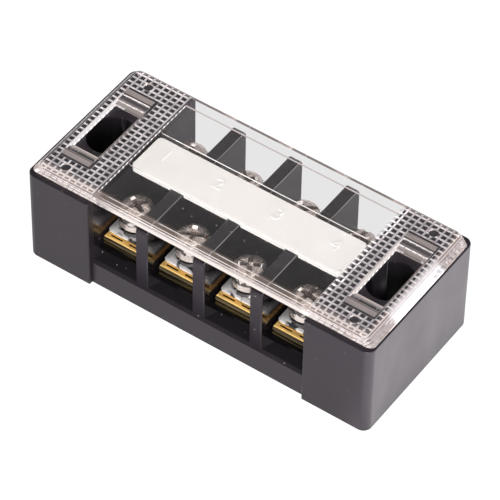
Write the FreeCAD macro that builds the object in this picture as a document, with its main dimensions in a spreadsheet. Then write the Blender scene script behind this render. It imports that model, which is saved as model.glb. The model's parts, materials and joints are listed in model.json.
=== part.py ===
import FreeCAD, Part
import os
import re

import Sketcher

# Barrier terminal strip: four poles in one moulded row, wired from the front (-Y) and
# from the back (+Y). X runs along the row, Z is up, and the origin is the centre of the
# housing's underside, so the part stands on Z = 0. Every size is in millimetres.

doc = FreeCAD.newDocument("TerminalStrip")
sheet = doc.addObject("Spreadsheet::Sheet", "Sizes")

# Driving sizes. Each can be changed by itself; everything else is worked out from them.
SIZES = (
    # the row
    ("pole_count", 4, "poles side by side"),
    ("pole_pitch", 12.0, "centre to centre of two poles"),
    ("end_gap", 0.45, "room between the outer bars and the end blocks"),
    # housing
    ("block_length", 13.45, "end block along the row"),
    ("body_width", 32.0, "end block from front to back"),
    ("body_height", 20.2, "top of the end blocks"),
    ("corner_radius", 1.7, "outer upright corners of the end blocks"),
    ("wall_setback", 0.8, "base wall behind the face of the end blocks"),
    ("wall_height", 5.0, "upright part of the base wall"),
    ("ledge_run", 2.3, "sloped ledge, front to back"),
    ("ledge_rise", 1.45, "sloped ledge, upwards"),
    ("shelf_rise", 1.0, "upright lip above the sloped ledge"),
    ("seat_rise", 0.75, "bar seat above the shelf"),
    ("barrier_thickness", 2.5, "fin between two poles"),
    ("barrier_setback", 1.2, "fin's edge behind the face of the end blocks"),
    ("barrier_round", 1.2, "rounded top corners of the fins"),
    ("barrier_notch", 0.05, "top of the fins below the top of the centre wall"),
    ("edge_radius", 0.25, "moulded edges of the end blocks and the fins"),
    ("mount_edge", 6.55, "mounting slot's centre from the end of the row"),
    ("mount_width", 5.0, "mounting slot across"),
    ("mount_length", 9.2, "mounting slot, front to back"),
    ("recess_side", 1.3, "recess for the mounting screw's head, wider than the slot each side"),
    ("recess_end", 0.2, "recess for the mounting screw's head, beyond the slot's ends"),
    ("recess_floor", 7.0, "plastic under the mounting screw's head"),
    ("well_diameter", 4.6, "blind hole below each screw"),
    ("well_floor", 1.2, "plastic left below the screw holes"),
    # terminal bars
    ("bar_width", 8.2, "bar along the row"),
    ("bar_thickness", 1.2, "bar stock"),
    ("bar_setback", 0.6, "bar's lip behind the shelf's edge"),
    ("bar_bend", 0.55, "outer bend of the lips"),
    ("bar_clearance", 0.1, "room round the bar in its tunnel and on its seat"),
    ("groove_drop", 0.25, "groove in a lip below the bend"),
    ("groove_depth", 0.2, "grooves in the lips and the top of a bar"),
    ("groove_width", 0.35, "grooves in the lips and the top of a bar"),
    ("groove_length", 2.6, "each groove in the top of a bar"),
    ("groove_gap", 1.4, "plain metal between a bar's two top grooves"),
    ("groove_edge", 1.05, "top grooves behind the front of the lip"),
    ("boss_diameter", 5.8, "tapped collar under the bar"),
    ("boss_height", 1.4, "tapped collar under the bar"),
    # screws and what they clamp with
    ("screw_edge", 4.4, "screw axis behind the front of the bar's lip"),
    ("thread_diameter", 3.5, "screw shank"),
    ("thread_clearance", 0.05, "radial room between shank and tapped hole"),
    ("shank_length", 9.6, "below the head"),
    ("point_length", 0.6, "cone at the screw's end"),
    ("head_diameter", 6.4, "pan head"),
    ("head_height", 3.5, "pan head"),
    ("head_round", 1.2, "top edge of the pan head"),
    ("slot_width", 0.95, "screwdriver slot"),
    ("slot_depth", 1.2, "screwdriver slot"),
    ("cross_length", 4.3, "cross recess, tip to tip"),
    ("cross_width", 1.0, "cross recess, wing"),
    ("cross_depth", 1.9, "cross recess"),
    ("plate_width", 7.8, "clamp plate along the row"),
    ("plate_depth", 6.8, "clamp plate, front to back"),
    ("plate_thickness", 0.9, "clamp plate"),
    ("plate_corner", 0.7, "clamp plate's corners"),
    ("plate_groove", 0.3, "wire grooves under the clamp plate"),
    ("plate_gap", 0.7, "clamp plate above its bar, with the screw eased off"),
    ("plate_room", 0.8, "clamp plate in front of the centre wall"),
    ("hole_clearance", 0.1, "radial room round the shank in plate and washer"),
    ("spring_diameter", 6.3, "split washer, outside"),
    ("spring_thickness", 0.85, "split washer's wire, upright"),
    ("spring_rise", 0.5, "split washer's free rise over one turn"),
    ("spring_gap", 12.0, "split in the washer, in degrees"),
    ("seat_clearance", 0.02, "room between a turning head and what it presses on"),
    # marker strip
    ("strip_gap", 0.4, "marker strip below the cover"),
    ("strip_plate", 0.7, "marker strip's face"),
    ("strip_side", 0.6, "marker strip's side walls"),
    ("strip_depth", 1.2, "marker strip's side walls, from the top"),
    ("strip_clearance", 0.05, "room between strip and centre wall"),
    ("strip_end_gap", 0.6, "strip short of the end blocks"),
    ("strip_corner", 0.9, "marker strip's upright corners"),
    ("notch_clearance", 0.15, "room each side of a fin in the strip's side wall"),
    # cover
    ("cover_front_inset", 1.05, "cover's edge behind the face of the end blocks"),
    ("cover_end_inset", 0.3, "cover's edge inside the end of the row"),
    ("cover_end_slope", 1.2, "how far the cover's ends lean in"),
    ("cover_height", 1.6, "cover above the end blocks"),
    ("cover_plate", 1.15, "cover over the bays"),
    ("cover_skirt", 2.0, "cover's front and back walls"),
    ("cover_corner", 1.2, "cover's upright corners"),
    ("cover_round", 0.35, "cover's top edge"),
    ("window_width", 6.1, "cover's window along the row"),
    ("window_shift", 0.55, "left window's centre outwards of its mounting slot"),
    ("window_length", 12.4, "cover's window, front to back"),
    ("step_run", 0.85, "first step at each end of a window"),
    ("step_depth", 1.0, "first step below the cover's top"),
    ("ramp_run", 1.25, "second step at each end of a window"),
    ("ramp_depth", 0.5, "second step below the cover's top"),
    ("leg_thickness", 1.2, "snap leg"),
    ("leg_width", 3.6, "snap leg along the row"),
    ("leg_length", 3.0, "snap leg below the cover"),
    ("leg_chamfer", 0.4, "lead-in at a snap leg's end"),
    ("leg_clearance", 0.15, "room round a snap leg in its pocket"),
    ("rib_width", 1.05, "raised rib on the cover"),
    ("rib_height", 0.2, "raised rib on the cover"),
    ("rib_reach", 4.75, "rib from the centre line"),
    ("rib_end_gap", 1.3, "rib short of the end blocks"),
    ("lip_rib_inset", 0.95, "rib along the cover's front edge, from that edge"),
    ("mark_diameter", 1.9, "round dimple near the cover's corners"),
    ("mark_depth", 0.3, "round dimple near the cover's corners"),
    ("mark_reach", 12.1, "round dimple from the centre line"),
    ("mark_edge", 5.9, "round dimple from the end of the row"),
)

# Worked out from the driving sizes.
DERIVED = {
    "first_pole": "-(pole_count - 1) / 2 * pole_pitch",
    "first_barrier": "first_pole + pole_pitch / 2",
    "half_bays": "(pole_count - 1) / 2 * pole_pitch + bar_width / 2 + end_gap",
    "half_length": "half_bays + block_length",
    "half_width": "body_width / 2",
    "wall_y": "half_width - wall_setback",
    "shelf_y": "wall_y - ledge_run",
    "ledge_top": "wall_height + ledge_rise",
    "shelf_top": "ledge_top + shelf_rise",
    "seat_top": "shelf_top + seat_rise",
    "bar_top": "seat_top + bar_thickness",
    "bar_y": "shelf_y - bar_setback",
    "seat_y": "bar_y - bar_thickness - bar_clearance",
    "barrier_y": "half_width - barrier_setback",
    "mount_x": "half_length - mount_edge",
    "tap_radius": "thread_diameter / 2 + thread_clearance",
    "hole_radius": "thread_diameter / 2 + hole_clearance",
    "screw_reach": "bar_y - screw_edge",
    "spine_width": "2 * (screw_reach - plate_depth / 2 - plate_room)",
    "spine_height": "body_height + cover_height - cover_plate - strip_gap - strip_plate",
    "barrier_height": "spine_height - barrier_notch",
    "strip_half": "spine_width / 2 + strip_clearance + strip_side",
    "spring_height": "spring_thickness + spring_rise * (1 - spring_gap / 360)",
    "plate_bottom": "bar_top + plate_gap",
    "spring_bottom": "plate_bottom + plate_thickness",
    "head_bottom": "spring_bottom + spring_height + seat_clearance",
    "cover_x": "half_length - cover_end_inset",
    "cover_y": "half_width - cover_front_inset",
    "window_y": "window_length / 2",
    "leg_y": "window_y + leg_clearance",
}

for row, (alias, size, note) in enumerate(SIZES, start=1):
    sheet.set("A%d" % row, alias)
    sheet.set("B%d" % row, str(size))
    sheet.setAlias("B%d" % row, alias)
    sheet.set("C%d" % row, note)
doc.recompute()

ALIASES = {alias for alias, size, note in SIZES}
EPSILON = 1e-6


def spell(text):
    """Write a size out in full: derived names as what they come from, the rest as cells."""
    def word(match):
        name = match.group(0)
        if name in DERIVED:
            return "(" + spell(DERIVED[name]) + ")"
        if name in ALIASES:
            return "Sizes." + name
        return name
    return re.sub(r"[a-z_]+", word, text)


def value(text):
    """The size that an expression has now, in millimetres."""
    return float(sheet.evalExpression(spell(text)))


def new_body(name):
    body = doc.addObject("PartDesign::Body", name)
    body.Label = name
    return body


def new_sketch(body, name, role, offset="0"):
    """A sketch on one of the body's origin planes, moved along the plane's normal."""
    sketch = body.newObject("Sketcher::SketchObject", name)
    plane = next(f for f in body.Origin.OriginFeatures if f.Role == role)
    sketch.AttachmentSupport = [(plane, "")]
    sketch.MapMode = "FlatFace"
    sketch.setExpression(".AttachmentOffset.Base.z", spell(offset))
    return sketch


def pin(sketch, geometry, point, x, y):
    """Hold a point at the coordinates that two sizes give."""
    for kind, text, axis in (("DistanceX", x, -2), ("DistanceY", y, -1)):
        size = value(text)
        if abs(size) < EPSILON:
            sketch.addConstraint(Sketcher.Constraint("PointOnObject", geometry, point, axis))
            continue
        if size > 0:
            rule = Sketcher.Constraint(kind, -1, 1, geometry, point, size)
            bound = text
        else:
            rule = Sketcher.Constraint(kind, geometry, point, -1, 1, -size)
            bound = "-(" + text + ")"
        index = sketch.addConstraint(rule)
        sketch.setExpression("Constraints[%d]" % index, spell(bound))


def outline(sketch, corners):
    """A closed outline of straight lines, each corner held by its two sizes."""
    points = [FreeCAD.Vector(value(x), value(y), 0) for x, y in corners]
    first = sketch.GeometryCount
    for start, end in zip(points, points[1:] + points[:1]):
        sketch.addGeometry(Part.LineSegment(start, end))
    count = len(points)
    for i in range(count):
        joint = Sketcher.Constraint("Coincident", first + i, 2, first + (i + 1) % count, 1)
        sketch.addConstraint(joint)
    for i, (x, y) in enumerate(corners):
        pin(sketch, first + i, 1, x, y)


def rectangle(sketch, x_low, x_high, y_low, y_high):
    outline(sketch, ((x_low, y_low), (x_high, y_low), (x_high, y_high), (x_low, y_high)))


def circle(sketch, x, y, radius):
    centre = FreeCAD.Vector(value(x), value(y), 0)
    index = sketch.addGeometry(Part.Circle(centre, FreeCAD.Vector(0, 0, 1), value(radius)))
    pin(sketch, index, 3, x, y)
    rule = sketch.addConstraint(Sketcher.Constraint("Radius", index, value(radius)))
    sketch.setExpression("Constraints[%d]" % rule, spell(radius))


def stadium(sketch, ends, radius):
    """A slot outline: two half circles about the two end points, joined by tangents."""
    (x_a, y_a), (x_b, y_b) = [(value(x), value(y)) for x, y in ends]
    size = value(radius)
    start = FreeCAD.Vector(x_a, y_a, 0)
    end = FreeCAD.Vector(x_b, y_b, 0)
    along = (end - start).normalize()
    side = FreeCAD.Vector(-along.y, along.x, 0) * size
    arc_a = Part.Arc(start + side, start - along * size, start - side)
    arc_b = Part.Arc(end - side, end + along * size, end + side)
    first = sketch.addGeometry(arc_a)
    sketch.addGeometry(Part.LineSegment(start - side, end - side))
    sketch.addGeometry(arc_b)
    sketch.addGeometry(Part.LineSegment(end + side, start + side))
    for i in range(4):
        ends_of = (first + i, 2, first + (i + 1) % 4, 1)
        sketch.addConstraint(Sketcher.Constraint("Tangent", *ends_of))
    pin(sketch, first, 3, *ends[0])
    pin(sketch, first + 2, 3, *ends[1])
    rule = sketch.addConstraint(Sketcher.Constraint("Radius", first, size))
    sketch.setExpression("Constraints[%d]" % rule, spell(radius))


def pad(body, name, sketch, length, symmetric=False, downward=False):
    feature = body.newObject("PartDesign::Pad", name)
    feature.Profile = sketch
    feature.SideType = "Symmetric" if symmetric else "One side"
    feature.Reversed = downward
    feature.setExpression("Length", spell(length))
    doc.recompute()
    return feature


def pocket(body, name, sketch, depth=None, symmetric=False, upward=False):
    """Cut the sketch out of the body; with no depth the cut goes all the way through."""
    before = body.Shape.Volume
    feature = body.newObject("PartDesign::Pocket", name)
    feature.Profile = sketch
    feature.SideType = "Symmetric" if symmetric else "One side"
    feature.Reversed = upward
    if depth is None:
        feature.Type = "ThroughAll"
    else:
        feature.setExpression("Length", spell(depth))
    doc.recompute()
    if body.Shape.Volume > before - EPSILON:
        raise RuntimeError(name + " removes nothing")
    return feature


def repeat_along_row(body, name, feature, count):
    """Repeat a feature of the first pole or fin for the rest of the row."""
    pattern = body.newObject("PartDesign::LinearPattern", name)
    pattern.Originals = [feature]
    axis = next(f for f in body.Origin.OriginFeatures if f.Role == "X_Axis")
    pattern.Direction = (axis, [""])
    pattern.Mode = "Spacing"
    pattern.setExpression("Offset", spell("pole_pitch"))
    pattern.setExpression("Occurrences", spell(count))
    body.Tip = pattern
    doc.recompute()
    return pattern


def soften(body, name, kind, size, choose):
    """Fillet or chamfer the edges of the body's tip that the test picks."""
    base = body.Tip
    names = [
        "Edge%d" % number
        for number, edge in enumerate(base.Shape.Edges, start=1)
        if choose(edge)
    ]
    if not names:
        raise RuntimeError(name + " finds no edges")
    feature = body.newObject("PartDesign::" + kind, name)
    feature.Base = (base, names)
    feature.setExpression("Radius" if kind == "Fillet" else "Size", spell(size))
    doc.recompute()
    if "Invalid" in feature.State:
        raise RuntimeError(name + " doesn't fit its edges")
    return feature


def near(a, b):
    return abs(a - b) < 1e-4


def upright(edge):
    """True for a straight edge that runs mostly upwards."""
    ends = [v.Point for v in edge.Vertexes]
    if len(ends) != 2 or edge.Curve.TypeId != "Part::GeomLine":
        return False
    rise = ends[1] - ends[0]
    return abs(rise.z) > 0.7 * rise.Length


def along_x(edge):
    ends = [v.Point for v in edge.Vertexes]
    return len(ends) == 2 and near(abs((ends[1] - ends[0]).x), edge.Length)


def along_y(edge):
    ends = [v.Point for v in edge.Vertexes]
    return len(ends) == 2 and near(abs((ends[1] - ends[0]).y), edge.Length)


def place(body, x, y, z, turn=0.0):
    """Stand a body at its place in the row, turned about its own upright axis."""
    turned = FreeCAD.Rotation(FreeCAD.Vector(0, 0, 1), turn)
    body.Placement = FreeCAD.Placement(FreeCAD.Vector(0, 0, 0), turned)
    for axis, text in zip("xyz", (x, y, z)):
        body.setExpression(".Placement.Base." + axis, spell(text))


# ---- housing: one black moulding ----

def make_housing():
    body = new_body("housing")

    # base between the end blocks: wall, sloped ledge, lip, shelf and the raised bar seat
    half = (
        ("wall_y", "0"),
        ("wall_y", "wall_height"),
        ("shelf_y", "ledge_top"),
        ("shelf_y", "shelf_top"),
        ("seat_y", "shelf_top"),
        ("seat_y", "seat_top"),
    )
    mirrored = tuple(("-(" + y + ")", z) for y, z in reversed(half))
    section = new_sketch(body, "BaseSection", "YZ_Plane")
    outline(section, half + mirrored)
    pad(body, "Base", section, "2 * half_bays", symmetric=True)

    blocks = new_sketch(body, "BlockPlan", "XY_Plane")
    rectangle(blocks, "half_bays", "half_length", "-half_width", "half_width")
    rectangle(blocks, "-half_length", "-half_bays", "-half_width", "half_width")
    pad(body, "EndBlocks", blocks, "body_height")

    # fins between the poles, rounded at their top corners
    fin = new_sketch(body, "BarrierSection", "YZ_Plane", "first_barrier")
    rectangle(fin, "-(barrier_y)", "barrier_y", "wall_height / 2", "barrier_height")
    first_fin = pad(body, "Barrier", fin, "barrier_thickness", symmetric=True)
    repeat_along_row(body, "Barriers", first_fin, "pole_count - 1")

    half_length = value("half_length")
    soften(
        body, "BlockCorners", "Fillet", "corner_radius",
        lambda edge: upright(edge) and near(abs(edge.CenterOfMass.x), half_length),
    )
    fin_top = value("barrier_height")
    fin_reach = value("barrier_y")
    soften(
        body, "BarrierCorners", "Fillet", "barrier_round",
        lambda edge: (
            along_x(edge)
            and near(edge.CenterOfMass.z, fin_top)
            and near(abs(edge.CenterOfMass.y), fin_reach)
        ),
    )
    soften(
        body, "BarrierEdges", "Fillet", "edge_radius",
        lambda edge: near(edge.CenterOfMass.z, fin_top) and along_y(edge),
    )
    block_top = value("body_height")
    block_reach = value("half_width")
    bays = value("half_bays")
    soften(
        body, "BlockEdges", "Fillet", "edge_radius",
        lambda edge: (
            all(near(v.Point.z, block_top) for v in edge.Vertexes)
            or (
                upright(edge)
                and near(abs(edge.CenterOfMass.y), block_reach)
                and near(abs(edge.CenterOfMass.x), bays)
            )
        ),
    )

    spine = new_sketch(body, "SpineSection", "YZ_Plane")
    rectangle(spine, "-(spine_width) / 2", "spine_width / 2", "0", "spine_height")
    pad(body, "Spine", spine, "2 * half_bays", symmetric=True)

    # each bar runs from front to back through a tunnel in the centre wall
    tunnel = new_sketch(body, "TunnelSection", "XZ_Plane")
    rectangle(
        tunnel,
        "first_pole - bar_width / 2 - bar_clearance",
        "first_pole + bar_width / 2 + bar_clearance",
        "seat_top",
        "bar_top + bar_clearance",
    )
    first_tunnel = pocket(body, "Tunnel", tunnel, "spine_width + 1", symmetric=True)
    repeat_along_row(body, "Tunnels", first_tunnel, "pole_count")

    # below each screw: room for the bar's collar, then a blind hole for the screw's end
    for name, radius, depth in (
        ("Collar", "boss_diameter / 2 + bar_clearance", "boss_height + bar_clearance"),
        ("Well", "well_diameter / 2", "seat_top - well_floor"),
    ):
        plan = new_sketch(body, name + "Plan", "XY_Plane", "seat_top")
        for side in ("-(screw_reach)", "screw_reach"):
            circle(plan, "first_pole", side, radius)
        first_holes = pocket(body, name + "Holes", plan, depth)
        repeat_along_row(body, name + "Row", first_holes, "pole_count")

    # mounting slots right through the end blocks, and pockets for the cover's legs
    slots = new_sketch(body, "MountPlan", "XY_Plane", "body_height")
    for x in ("-(mount_x)", "mount_x"):
        reach = "(mount_length - mount_width) / 2"
        stadium(slots, ((x, "-" + reach), (x, reach)), "mount_width / 2")
    pocket(body, "MountSlots", slots)
    recess = new_sketch(body, "RecessPlan", "XY_Plane", "body_height")
    for x in ("-(mount_x)", "mount_x"):
        reach = "((mount_length - mount_width) / 2 + recess_end - recess_side)"
        stadium(recess, ((x, "-" + reach), (x, reach)), "mount_width / 2 + recess_side")
    pocket(body, "MountRecesses", recess, "body_height - recess_floor")
    legs = new_sketch(body, "LegPocketPlan", "XY_Plane", "body_height")
    for x in ("-(mount_x)", "mount_x"):
        for sign in ("-", ""):
            inner = sign + "(leg_y - leg_clearance)"
            outer = sign + "(leg_y + leg_thickness + leg_clearance)"
            rectangle(
                legs,
                x + " - leg_width / 2 - leg_clearance",
                x + " + leg_width / 2 + leg_clearance",
                *((outer, inner) if sign else (inner, outer)),
            )
    pocket(body, "LegPockets", legs, "leg_length + leg_clearance")


# ---- terminal bars: one folded brass bar for each pole ----

def make_bar(name, pole_x):
    body = new_body(name)

    # flat strip with both ends folded down over the seat, and a groove along each lip
    inner = "bar_y - bar_thickness"
    low = "shelf_top + bar_clearance / 2 - bar_top"
    groove_high = "-bar_bend - groove_drop"
    groove_low = "-bar_bend - groove_drop - groove_width"
    right = [
        ("bar_y", "0"),
        ("bar_y", groove_high),
        ("bar_y - groove_depth", groove_high),
        ("bar_y - groove_depth", groove_low),
        ("bar_y", groove_low),
        ("bar_y", low),
        (inner, low),
        (inner, "-bar_thickness"),
    ]
    left = [("-(" + y + ")", z) for y, z in reversed(right)]
    section = new_sketch(body, "Section", "YZ_Plane")
    outline(section, right + left)
    pad(body, "Strip", section, "bar_width", symmetric=True)
    reach = value("bar_y")
    soften(
        body, "Bends", "Fillet", "bar_bend",
        lambda edge: (
            along_x(edge)
            and near(edge.CenterOfMass.z, 0)
            and near(abs(edge.CenterOfMass.y), reach)
        ),
    )

    collars = new_sketch(body, "CollarPlan", "XY_Plane", "-bar_thickness")
    for side in ("-(screw_reach)", "screw_reach"):
        circle(collars, "0", side, "boss_diameter / 2")
    pad(body, "Collars", collars, "boss_height", downward=True)
    holes = new_sketch(body, "TapPlan", "XY_Plane")
    for side in ("-(screw_reach)", "screw_reach"):
        circle(holes, "0", side, "tap_radius")
    pocket(body, "TappedHoles", holes)

    grooves = new_sketch(body, "GroovePlan", "XY_Plane")
    for sign in ("-", ""):
        y = sign + "(bar_y - groove_edge)"
        for start in ("-groove_gap / 2 - groove_length", "groove_gap / 2"):
            stadium(
                grooves,
                (
                    (start + " + groove_width / 2", y),
                    (start + " + groove_length - groove_width / 2", y),
                ),
                "groove_width / 2",
            )
    pocket(body, "TopGrooves", grooves, "groove_depth")
    place(body, pole_x, "0", "bar_top")


# ---- what sits on each screw: clamp plate, split washer and the screw itself ----

def make_plate(name, x, y, turn):
    body = new_body(name)
    plan = new_sketch(body, "Plan", "XY_Plane")
    rectangle(plan, "-plate_width / 2", "plate_width / 2", "-plate_depth / 2", "plate_depth / 2")
    pad(body, "Plate", plan, "plate_thickness")
    hole = new_sketch(body, "HolePlan", "XY_Plane", "plate_thickness")
    circle(hole, "0", "0", "hole_radius")
    pocket(body, "Hole", hole)

    # two grooves across the underside bite on the wire
    bites = new_sketch(body, "BitePlan", "XY_Plane")
    for reach in ("-hole_radius - plate_groove", "hole_radius + plate_groove"):
        rectangle(
            bites, "-plate_width / 2", "plate_width / 2",
            reach + " - plate_groove / 2", reach + " + plate_groove / 2",
        )
    pocket(body, "Bites", bites, "plate_groove", upward=True)
    half_width = value("plate_width / 2")
    half_depth = value("plate_depth / 2")
    soften(
        body, "Corners", "Fillet", "plate_corner",
        lambda edge: (
            upright(edge)
            and near(abs(edge.CenterOfMass.x), half_width)
            and near(abs(edge.CenterOfMass.y), half_depth)
        ),
    )
    place(body, x, y, "plate_bottom", turn)


def make_spring(name, x, y, turn):
    body = new_body(name)

    # square wire wound just short of one turn, so the split stands open by its free rise
    section = new_sketch(body, "WireSection", "XZ_Plane")
    rectangle(section, "hole_radius", "spring_diameter / 2", "0", "spring_thickness")
    coil = body.newObject("PartDesign::AdditiveHelix", "Coil")
    coil.Profile = section
    coil.ReferenceAxis = (section, ["V_Axis"])
    coil.Mode = "pitch-turns-angle"
    coil.setExpression("Pitch", spell("spring_rise"))
    coil.setExpression("Turns", spell("1 - spring_gap / 360"))
    doc.recompute()
    place(body, x, y, "spring_bottom", turn)


def make_screw(name, x, y, turn):
    body = new_body(name)
    profile = new_sketch(body, "Profile", "XZ_Plane")
    radius = "thread_diameter / 2"
    outline(profile, (
        ("0", "head_height"),
        ("0", "-shank_length"),
        (radius + " - point_length / 2", "-shank_length"),
        (radius, "-shank_length + point_length"),
        (radius, "0"),
        ("head_diameter / 2", "0"),
        ("head_diameter / 2", "head_height"),
    ))
    turned = body.newObject("PartDesign::Revolution", "Turned")
    turned.Profile = profile
    turned.ReferenceAxis = (profile, ["V_Axis"])
    turned.Angle = 360.0
    doc.recompute()
    top = value("head_height")
    rim = value("head_diameter / 2")
    soften(
        body, "HeadRound", "Fillet", "head_round",
        lambda edge: (
            edge.Curve.TypeId == "Part::GeomCircle"
            and near(edge.Curve.Radius, rim)
            and near(edge.Curve.Center.z, top)
        ),
    )
    slot = new_sketch(body, "SlotPlan", "XY_Plane", "head_height")
    rectangle(slot, "-head_diameter", "head_diameter", "-slot_width / 2", "slot_width / 2")
    pocket(body, "Slot", slot, "slot_depth")
    cross = new_sketch(body, "CrossPlan", "XY_Plane", "head_height")
    tip = "cross_length / 2"
    wing = "cross_width / 2"
    outline(cross, (
        (tip, "-" + wing), (tip, wing), (wing, wing), (wing, tip),
        ("-" + wing, tip), ("-" + wing, wing), ("-" + tip, wing), ("-" + tip, "-" + wing),
        ("-" + wing, "-" + wing), ("-" + wing, "-" + tip), (wing, "-" + tip), (wing, "-" + wing),
    ))
    pocket(body, "Cross", cross, "cross_depth")
    place(body, x, y, "head_bottom", turn)


# ---- marker strip: white channel pressed over the centre wall ----

def make_strip():
    body = new_body("marker_strip")
    inner = "strip_half - strip_side"
    section = new_sketch(body, "Section", "YZ_Plane")
    outline(section, (
        ("strip_half", "strip_plate - strip_depth"),
        ("strip_half", "strip_plate"),
        ("-(strip_half)", "strip_plate"),
        ("-(strip_half)", "strip_plate - strip_depth"),
        ("-(" + inner + ")", "strip_plate - strip_depth"),
        ("-(" + inner + ")", "0"),
        (inner, "0"),
        (inner, "strip_plate - strip_depth"),
    ))
    pad(body, "Channel", section, "2 * (half_bays - strip_end_gap)", symmetric=True)

    # the side walls stop short of each fin
    half_notch = "barrier_thickness / 2 + notch_clearance"
    notch = new_sketch(body, "NotchSection", "XZ_Plane")
    rectangle(
        notch,
        "first_barrier - " + half_notch.replace(" + ", " - "),
        "first_barrier + " + half_notch,
        "strip_plate - strip_depth",
        "0",
    )
    first_notch = pocket(body, "Notch", notch, "3 * strip_half", symmetric=True)
    repeat_along_row(body, "Notches", first_notch, "pole_count - 1")
    end = value("half_bays - strip_end_gap")
    side = value("strip_half")
    soften(
        body, "Corners", "Fillet", "min(strip_corner; strip_side + strip_corner / 3)",
        lambda edge: (
            upright(edge)
            and near(abs(edge.CenterOfMass.x), end)
            and near(abs(edge.CenterOfMass.y), side)
        ),
    )
    place(body, "0", "0", "spine_height")


# ---- cover: clear moulding with a window over each mounting slot ----

def make_cover():
    body = new_body("cover")
    lean = "cover_x - cover_end_slope"
    shape = new_sketch(body, "SideSection", "XZ_Plane")
    outline(shape, (
        ("-(cover_x)", "0"),
        ("cover_x", "0"),
        (lean, "cover_height"),
        ("-(" + lean + ")", "cover_height"),
    ))
    pad(body, "Slab", shape, "2 * cover_y", symmetric=True)
    reach = value("cover_y")
    soften(
        body, "Corners", "Fillet", "cover_corner",
        lambda edge: (
            not along_x(edge)
            and near(abs(edge.CenterOfMass.y), reach)
            and abs(edge.CenterOfMass.x) > 1
        ),
    )
    top = value("cover_height")
    soften(
        body, "TopEdge", "Fillet", "cover_round",
        lambda edge: all(near(v.Point.z, top) for v in edge.Vertexes),
    )

    hollow = new_sketch(body, "HollowPlan", "XY_Plane")
    rectangle(
        hollow, "-(half_bays)", "half_bays",
        "-(cover_y - cover_skirt)", "cover_y - cover_skirt",
    )
    pocket(body, "Hollow", hollow, "cover_height - cover_plate", upward=True)

    # windows, with two steps down into each short end
    window_centres = ("-(mount_x + window_shift)", "mount_x")
    windows = new_sketch(body, "WindowPlan", "XY_Plane", "cover_height")
    for x in window_centres:
        rectangle(
            windows, x + " - window_width / 2", x + " + window_width / 2",
            "-(window_y)", "window_y",
        )
    pocket(body, "Windows", windows)
    for name, run, depth in (
        ("FirstStep", "step_run", "step_depth"),
        ("SecondStep", "step_run + ramp_run", "ramp_depth"),
    ):
        plan = new_sketch(body, name + "Plan", "XY_Plane", "cover_height")
        for x in window_centres:
            rectangle(
                plan, x + " - window_width / 2", x + " + window_width / 2",
                "-(window_y + " + run + ")", "window_y + " + run,
            )
        pocket(body, name, plan, depth)

    legs = new_sketch(body, "LegPlan", "XY_Plane")
    for x in ("-(mount_x)", "mount_x"):
        for sign in ("-", ""):
            inner = sign + "(leg_y)"
            outer = sign + "(leg_y + leg_thickness)"
            rectangle(
                legs, x + " - leg_width / 2", x + " + leg_width / 2",
                *((outer, inner) if sign else (inner, outer)),
            )
    pad(body, "Legs", legs, "leg_length", downward=True)
    low = -value("leg_length")
    outer = value("leg_y + leg_thickness")
    soften(
        body, "LegLeadIn", "Chamfer", "leg_chamfer",
        lambda edge: (
            along_x(edge)
            and near(edge.CenterOfMass.z, low)
            and near(abs(edge.CenterOfMass.y), outer)
        ),
    )

    ribs = new_sketch(body, "RibPlan", "XY_Plane", "cover_height")
    tip = "half_bays - rib_end_gap"
    for y in ("-rib_reach", "rib_reach", "-(cover_y - lip_rib_inset)"):
        stadium(ribs, (("-(" + tip + ")", y), (tip, y)), "rib_width / 2")
    pad(body, "Ribs", ribs, "rib_height")
    marks = new_sketch(body, "MarkPlan", "XY_Plane", "cover_height")
    for x in ("-(half_length - mark_edge)", "half_length - mark_edge"):
        for y in ("-mark_reach", "mark_reach"):
            circle(marks, x, y, "mark_diameter / 2")
    pocket(body, "Marks", marks, "mark_depth")
    place(body, "0", "0", "body_height")


# How far each screw's slot is turned from the row, in degrees, as the screws were left.
SLOT_TURNS = {"front": (62, 24, 118, 80), "back": (15, 140, 48, 96)}
# The split of each washer faces the wire, a little left of the middle.
SPLIT_TURN = -102

make_housing()
make_strip()
make_cover()
for pole in range(int(value("pole_count"))):
    pole_x = "first_pole + %d * pole_pitch" % pole
    number = pole + 1
    make_bar("terminal_bar_%d" % number, pole_x)
    for side, reach, turn in (("front", "-(screw_reach)", 0), ("back", "screw_reach", 180)):
        tail = "_%s_%d" % (side, number)
        slot_turns = SLOT_TURNS[side]
        make_plate("clamp_plate" + tail, pole_x, reach, turn)
        make_spring("spring_washer" + tail, pole_x, reach, turn + SPLIT_TURN)
        make_screw("screw" + tail, pole_x, reach, slot_turns[pole % len(slot_turns)])

doc.recompute()
failed = [o.Label for o in doc.Objects if "Invalid" in o.State or "Error" in o.State]
if failed:
    raise RuntimeError("failed: " + ", ".join(failed))

bodies = [o for o in doc.Objects if o.TypeId == "PartDesign::Body"]
for body in bodies:
    if body.Shape.isNull() or not body.Shape.isValid() or len(body.Shape.Solids) != 1:
        raise RuntimeError(body.Label + " is not one valid solid")

os.makedirs("parts", exist_ok=True)
for body in bodies:
    body.Shape.exportStep(os.path.join("parts", body.Label + ".step"))
    box = body.Shape.BoundBox
    print(body.Label, [round(n, 2) for n in (
        box.XMin, box.XMax, box.YMin, box.YMax, box.ZMin, box.ZMax, body.Shape.Volume
    )])
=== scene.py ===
import json
import math

import bpy
from mathutils import Matrix, Vector

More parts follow.
